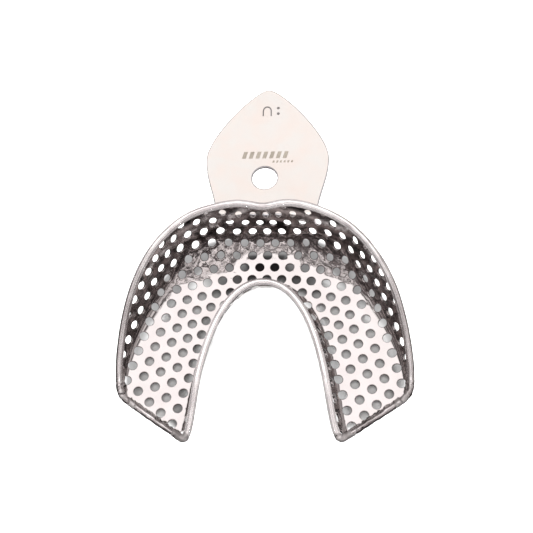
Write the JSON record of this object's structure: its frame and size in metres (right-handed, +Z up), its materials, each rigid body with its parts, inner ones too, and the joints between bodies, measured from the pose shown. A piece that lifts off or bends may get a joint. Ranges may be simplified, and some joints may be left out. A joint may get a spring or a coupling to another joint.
{
  "type": "dental impression tray",
  "caption": "Perforated steel impression tray for a lower jaw: a U-shaped trough with bead rims, its front wall brazed to a flat leaf-shaped handle with a round eye.",
  "frame": {"origin": "centre of the bounding box's base, on the surface that the tray rests on", "axes": "+Y towards the tip of the handle (the front of the jaw), +Z up out of the trough, +X to the right seen from the heel side with the trough open upwards"},
  "size_m": [0.0726, 0.094, 0.0168],
  "materials": {
    "sheet": "polished stainless steel sheet",
    "wire": "polished stainless steel wire",
    "plate": "polished stainless steel plate",
    "solder": "silver braze, slightly rough and tarnished"
  },
  "bodies": {
    "root": {"tray_shell": "sheet", "rim_wire_outer": "wire", "rim_wire_lingual": "wire", "rim_wire_heel_left": "wire", "rim_wire_heel_right": "wire", "handle_plate": "plate", "handle_braze": "solder", "braze_tip_left": "solder", "braze_tip_right": "solder", "braze_corner_left": "solder", "braze_corner_right": "solder"}
  },
  "joints": []
}
